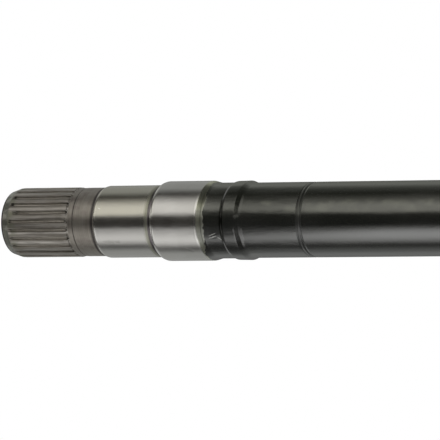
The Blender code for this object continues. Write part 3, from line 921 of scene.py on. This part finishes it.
def studio():
    """Dark room behind the camera, a soft box above it, a bright table below it, and a pale wall at the back.

    The angle round the axis is 0 level towards the camera, positive above and negative below. The X of a
    direction says how far along the shaft it points: the box and the table end in bright rims on the left,
    and have a gap on the right. From X = -0.25 on they take up a smaller angle.
    """
    box_colour, table_colour, wall_colour = (1.0, 0.98, 0.93, 1), (1.0, 0.99, 0.97, 1), (0.98, 1.0, 0.97, 1)
    glare_colour, under_colour, room_dark = (1.0, 1.0, 1.0, 1), (0.98, 0.98, 1, 1), (0.038, 0.036, 0.032, 1)
    surround = Surround()
    direction = surround.nodes.new("ShaderNodeTexCoord").outputs["Generated"]
    split = surround.nodes.new("ShaderNodeSeparateXYZ")
    surround.links.new(direction, split.inputs["Vector"])
    along = split.outputs["X"]
    angle = surround.degrees_round(split.outputs["Y"], split.outputs["Z"])
    away = surround.math("ABSOLUTE", angle)
    angle = surround.product(angle, surround.math("ADD", 1.0, surround.step(along, -0.25, -0.05, 0.75)))
    below = surround.product(angle, -1.0)
    lit = surround.step(along, -0.84, -0.76)
    for rise, fall, height in (((-0.98, -0.95), (-0.86, -0.90), 1.4), ((-0.78, -0.70), (-0.54, -0.62), 0.95),
                               ((-0.44, -0.37), (-0.14, -0.24), 1.0)):
        lit = surround.math("ADD", lit, surround.hill(along, rise, fall, height))
    lit = surround.math("ADD", lit, surround.step(along, -0.2, -0.05, 0.6))
    gap = surround.hill(along, (0.06, 0.15), (0.54, 0.44))
    lit = surround.product(lit, surround.math("SUBTRACT", 1.0, surround.product(gap, 0.9)))
    box = surround.product(surround.hill(angle, (11, 28), (88, 39), 0.86), lit)
    near_edge = surround.math("ADD", surround.step(below, 15, 27, 0.42), surround.step(below, 24, 56, 0.44))
    table = surround.product(surround.product(near_edge, surround.step(below, 90, 57)), lit)
    wall = surround.hill(away, (82, 112), (180, 150), 0.33)
    wall = surround.product(wall, surround.math("SUBTRACT", 1.0, surround.product(gap, 0.6)))
    glare = surround.product(surround.step(away, 98, 122, 0.2), surround.step(along, -0.56, -0.68))
    under = surround.step(below, 60, 92, 0.05)
    light = room_dark
    for share, colour in ((box, box_colour), (table, table_colour), (wall, wall_colour),
                          (glare, glare_colour), (under, under_colour)):
        light = surround.mix(share, light, colour, "ADD")
    seen = surround.nodes.new("ShaderNodeLightPath").outputs["Is Camera Ray"]
    surround.put(surround.background.inputs["Color"], surround.mix(seen, light, (1, 1, 1, 1)))


def floor():
    """A pale floor well below the shaft, out of the camera's frame and of reflections, and its lamp."""
    half_size, drop = 6.0, 0.6
    lamp_size, lamp_power, lamp_height = 3.0, 60.0, 2.5
    corners = np.array([(-1, -1), (1, -1), (1, 1), (-1, 1)]) * half_size
    corners = np.column_stack([corners, np.full(4, -drop)])
    plane = mesh_object("floor", corners, np.array([[0, 1, 2, 3]]), np.empty((0, 3), int))
    finish = Finish("pale floor", roughness=0.8, metallic=0.0)
    finish.colour((0.82, 0.82, 0.81, 1))
    plane.data.materials.append(finish.material)
    plane.visible_glossy = False
    lamp = bpy.data.lights.new("floor light", "AREA")
    lamp.shape = "RECTANGLE"
    lamp.size, lamp.size_y = lamp_size, lamp_size
    lamp.energy = lamp_power
    light = bpy.data.objects.new("floor light", lamp)
    light.location = (SHAFT_END / 2, 0.0, lamp_height)
    light.visible_glossy = False
    bpy.context.scene.collection.objects.link(light)


def ease(value, start, end):
    """Smooth rise from 0 to 1 between two values."""
    share = np.clip((value - start) / (end - start), 0.0, 1.0)
    return share**2 * (3 - 2 * share)


def paint_light(place, degrees):
    """Share of the studio's light that reaches the paint, by place and degrees round the shaft.

    Above the middle it rises into the upper band and fades in two steps. Below, it is a hump over a base,
    with its own half width on each side. Towards the outline both give way to the edge's share.
    """
    knots, edge, level, middle, inner, outer, peak, beyond = np.array(PAINT_LIGHT).T
    edge, level, middle, inner, outer, peak, beyond = (
        np.interp(place / MM, knots, column) for column in (edge, level, middle, inner, outer, peak, beyond))
    rise_start, rise_end = UPPER_RISE
    upper = DIM_SHARE + (level - DIM_SHARE) * ease(degrees, edge + rise_start, edge + rise_end)
    for loss, start, end in UPPER_FADES:
        upper = upper * (1 - loss * ease(degrees, start, end))
    inside = degrees > middle
    base = np.where(inside, DIM_SHARE, beyond)
    lower = base + (peak - base) * hump(degrees - middle, np.where(inside, inner, outer))
    share = np.where(degrees > 0, upper, lower)
    loss, start, end = EDGE_FADE
    edge_share = EDGE_SHARE - loss * ease(np.abs(degrees), start, end)
    return share + (edge_share - share) * ease(np.abs(degrees), *EDGE_ZONE)


def see_through_gel():
    """Lets light through as far as its share attribute says, and adds the light of its glow attribute."""
    finish = Finish("gel")
    clear = finish.nodes.new("ShaderNodeBsdfTransparent")
    glow = finish.nodes.new("ShaderNodeEmission")
    both = finish.nodes.new("ShaderNodeAddShader")
    finish.put(clear.inputs["Color"], finish.attribute("share", "Color"))
    finish.put(glow.inputs["Color"], finish.attribute("glow", "Color"))
    finish.put(both.inputs[0], clear.outputs["BSDF"])
    finish.put(both.inputs[1], glow.outputs["Emission"])
    finish.put(finish.nodes["Material Output"].inputs["Surface"], both.outputs["Shader"])
    return finish.material


def gel():
    """A filter round the painted part that only its reflections see: it shapes the light on the paint.

    Its vertex for a place X and an angle a lies where the view, mirrored by the bar there, meets a cylinder
    of radius R about the axis: sqrt(R^2 - r^2 sin^2 a) - r cos a away from the bar, in the direction 2a. It
    dims by its colour where the share of light is below 1, and glows where it is above.
    """
    place = np.linspace(GEL_START, SHAFT_END + GEL_OVERHANG, GEL_ROWS)[:, None]
    degrees = np.linspace(-GEL_REACH, GEL_REACH, GEL_COLUMNS)[None, :]
    angle = np.radians(degrees)
    away = np.sqrt(GEL_RADIUS**2 - (BAR_RADIUS * np.sin(angle)) ** 2) - BAR_RADIUS * np.cos(angle)
    x = place - math.tan(math.radians(CAMERA_AZIMUTH)) * away
    y = -BAR_RADIUS * np.cos(angle) - away * np.cos(2 * angle)
    z = BAR_RADIUS * np.sin(angle) + away * np.sin(2 * angle)
    points = np.stack([x, y + 0 * x, z + 0 * x], axis=-1).reshape(-1, 3)
    share = paint_light(place, degrees)
    rows, columns = share.shape
    corner = (np.arange(rows - 1)[:, None] * columns + np.arange(columns - 1)[None, :]).ravel()
    quads = np.stack([corner, corner + 1, corner + columns + 1, corner + columns], axis=-1)
    sheet = mesh_object("gel", points, quads, np.empty((0, 3), int))
    passed = np.minimum(share, 1.0)
    glow = GEL_GLOW * (share - passed) + GEL_HAZE * (1.0 - passed)
    solid = np.ones_like(share)[..., None]
    upper = ease(degrees, *GEL_TINT_CHANGE)[..., None] * solid
    tint = np.array(GEL_LOW_TINT) + (np.array(GEL_HIGH_TINT) - np.array(GEL_LOW_TINT)) * upper
    for name, level in (("share", passed), ("glow", glow)):
        layer = sheet.data.attributes.new(name, "FLOAT_COLOR", "POINT")
        colours = np.concatenate([level[..., None] * tint, solid], axis=-1)
        layer.data.foreach_set("color", colours.ravel().astype(np.float32))
    sheet.data.materials.append(see_through_gel())
    sheet.visible_camera = False
    sheet.visible_diffuse = False
    sheet.visible_shadow = False


def camera():
    """Looks level at the shaft from its bar's side, turned a little so that the axis rises to the right."""
    azimuth = math.radians(CAMERA_AZIMUTH)
    lens = bpy.data.cameras.new("camera")
    lens.lens = CAMERA_LENS
    lens.sensor_width = CAMERA_SENSOR
    lens.clip_end = CAMERA_FAR_LIMIT
    view = bpy.data.objects.new("camera", lens)
    back = Vector((math.sin(azimuth), -math.cos(azimuth), 0.0))
    level = Euler((math.pi / 2, 0.0, azimuth)).to_matrix()
    roll = Matrix.Rotation(-math.radians(CAMERA_ROLL), 3, "Z")
    view.matrix_world = Matrix.Translation(CAMERA_TARGET + back * CAMERA_DISTANCE) @ (level @ roll).to_4x4()
    bpy.context.scene.collection.objects.link(view)
    bpy.context.scene.camera = view


def main():
    bpy.context.scene.view_settings.view_transform = "Standard"
    painted_shaft()
    studio()
    floor()
    gel()
    camera()


main()
